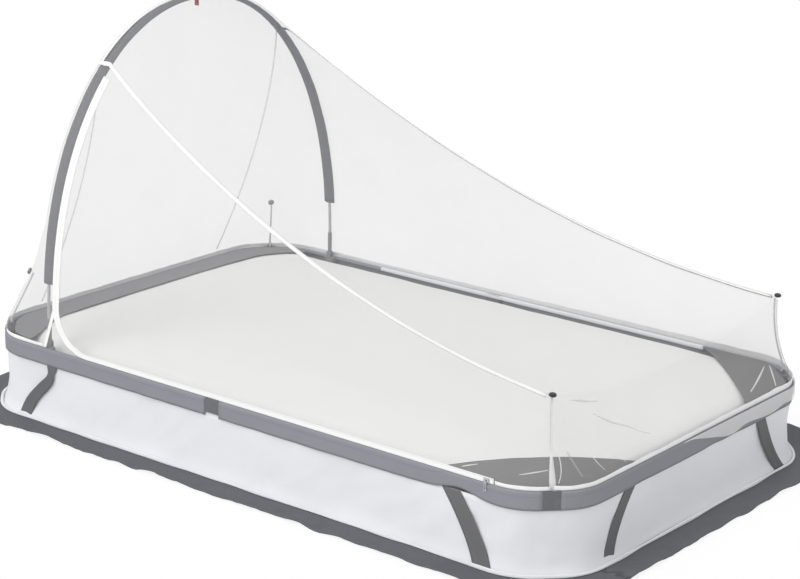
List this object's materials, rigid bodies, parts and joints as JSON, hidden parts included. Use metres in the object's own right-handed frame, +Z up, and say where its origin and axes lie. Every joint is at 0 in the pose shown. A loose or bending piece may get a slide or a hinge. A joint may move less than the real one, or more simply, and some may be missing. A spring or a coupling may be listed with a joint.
{
  "type": "mosquito net tent",
  "caption": "Low net tent that stands over a mattress: grey pole rim with skirt, head arch, corner stays and a see-through zipped net",
  "frame": {"origin": "on the ground under the middle of the mattress", "axes": "+X from the head end to the foot end, +Z up, the front with the zip faces -Y"},
  "size_m": [2.2, 1.44, 1.121],
  "materials": {
    "ground_sheet": "woven coated cloth, matt",
    "wall": "thin white woven cloth",
    "strap": "flat woven webbing",
    "rim_sleeve": "grey woven sleeve cloth",
    "rim_pole": "drawn glass fibre rod",
    "pole_coupler": "moulded, matt",
    "corner_connector": "moulded, matt",
    "stay": "drawn glass fibre rod",
    "stay_cap": "moulded, satin",
    "arch_pole": "drawn glass fibre rod",
    "arch_sleeve": "grey woven sleeve cloth",
    "arch_foot": "moulded, matt",
    "arch_bracket": "moulded, matt",
    "hang_tab": "folded ribbon",
    "mattress": "padded white cover",
    "corner_pocket": "grey woven cloth",
    "head_panel": "grey woven cloth",
    "net": "fine see-through mesh",
    "seam_tape": "folded white binding",
    "door_zip": "coil zip on white tape",
    "zip_slider": "plated, satin"
  },
  "bodies": {
    "base": {"arch_bracket_back": "arch_bracket", "arch_bracket_front": "arch_bracket", "corner_connector_foot_back": "corner_connector", "corner_connector_foot_front": "corner_connector", "corner_connector_head_back": "corner_connector", "corner_connector_head_front": "corner_connector", "corner_pocket_back": "corner_pocket", "corner_pocket_front": "corner_pocket", "door_zip": "door_zip", "ground_sheet": "ground_sheet", "head_panel": "head_panel", "mattress": "mattress", "net_back": "net", "net_foot": "net", "net_front": "net", "net_roof": "net", "pole_coupler_back": "pole_coupler", "pole_coupler_front": "pole_coupler", "rim_pole_back_foot": "rim_pole", "rim_pole_back_head": "rim_pole", "rim_pole_foot": "rim_pole", "rim_pole_front_foot": "rim_pole", "rim_pole_front_head": "rim_pole", "rim_pole_head": "rim_pole", "rim_sleeve_back_foot": "rim_sleeve", "rim_sleeve_back_head": "rim_sleeve", "rim_sleeve_foot": "rim_sleeve", "rim_sleeve_front_foot": "rim_sleeve", "rim_sleeve_front_head": "rim_sleeve", "rim_sleeve_head": "rim_sleeve", "seam_tape_back": "seam_tape", "seam_tape_front": "seam_tape", "strap_foot_back_end": "strap", "strap_foot_back_side": "strap", "strap_foot_front_end": "strap", "strap_foot_front_side": "strap", "strap_head_back_end": "strap", "strap_head_back_side": "strap", "strap_head_front_end": "strap", "strap_head_front_side": "strap", "wall_back": "wall", "wall_foot": "wall", "wall_front": "wall", "wall_head": "wall"},
    "arch": {"arch_pole": "arch_pole", "arch_sleeve": "arch_sleeve", "arch_foot_front": "arch_foot", "arch_foot_back": "arch_foot", "hang_tab": "hang_tab"},
    "zip_slider": {"zip_slider": "zip_slider"},
    "zip_pull": {"zip_pull": "zip_slider"},
    "stay_head_front": {"stay_head_front": "stay", "stay_cap_head_front": "stay_cap"},
    "stay_head_back": {"stay_head_back": "stay", "stay_cap_head_back": "stay_cap"},
    "stay_foot_front": {"stay_foot_front": "stay", "stay_cap_foot_front": "stay_cap"},
    "stay_foot_back": {"stay_foot_back": "stay", "stay_cap_foot_back": "stay_cap"}
  },
  "joints": [
    {"name": "arch_fold", "type": "hinge", "parent": "base", "child": "arch", "pos_m": [-0.719, 0, 0.2255], "axis": [0, 1, 0], "range_deg": [0, 84], "deforming": ["net_roof", "net_front", "net_back", "net_foot", "seam_tape_front", "seam_tape_back", "door_zip"]},
    {"name": "stay_head_front_fold", "type": "hinge", "parent": "base", "child": "stay_head_front", "pos_m": [-0.92672, -0.54672, 0.2235], "axis": [-0.7071, 0.7071, 0], "range_deg": [0, 62]},
    {"name": "stay_head_back_fold", "type": "hinge", "parent": "base", "child": "stay_head_back", "pos_m": [-0.92672, 0.54672, 0.2235], "axis": [0.7071, 0.7071, 0], "range_deg": [0, 62]},
    {"name": "stay_foot_front_fold", "type": "hinge", "parent": "base", "child": "stay_foot_front", "pos_m": [0.92672, -0.54672, 0.2235], "axis": [-0.7071, -0.7071, 0], "range_deg": [0, 70]},
    {"name": "stay_foot_back_fold", "type": "hinge", "parent": "base", "child": "stay_foot_back", "pos_m": [0.92672, 0.54672, 0.2235], "axis": [0.7071, -0.7071, 0], "range_deg": [0, 70]},
    {"name": "zip_slide", "type": "slide", "parent": "base", "child": "zip_slider", "axis": [-1, 0, 0], "range_m": [0, 1.3]},
    {"name": "zip_pull_swing", "type": "hinge", "parent": "zip_slider", "child": "zip_pull", "pos_m": [0.79, -0.6214, 0.2226], "axis": [-1, 0, 0], "range_deg": [0, 90]}
  ],
  "couplings": [
    {"joint": "stay_head_front_fold", "follows": "arch_fold", "ratio": 0.738},
    {"joint": "stay_head_back_fold", "follows": "arch_fold", "ratio": 0.738},
    {"joint": "stay_foot_front_fold", "follows": "arch_fold", "ratio": 0.83},
    {"joint": "stay_foot_back_fold", "follows": "arch_fold", "ratio": 0.83}
  ]
}
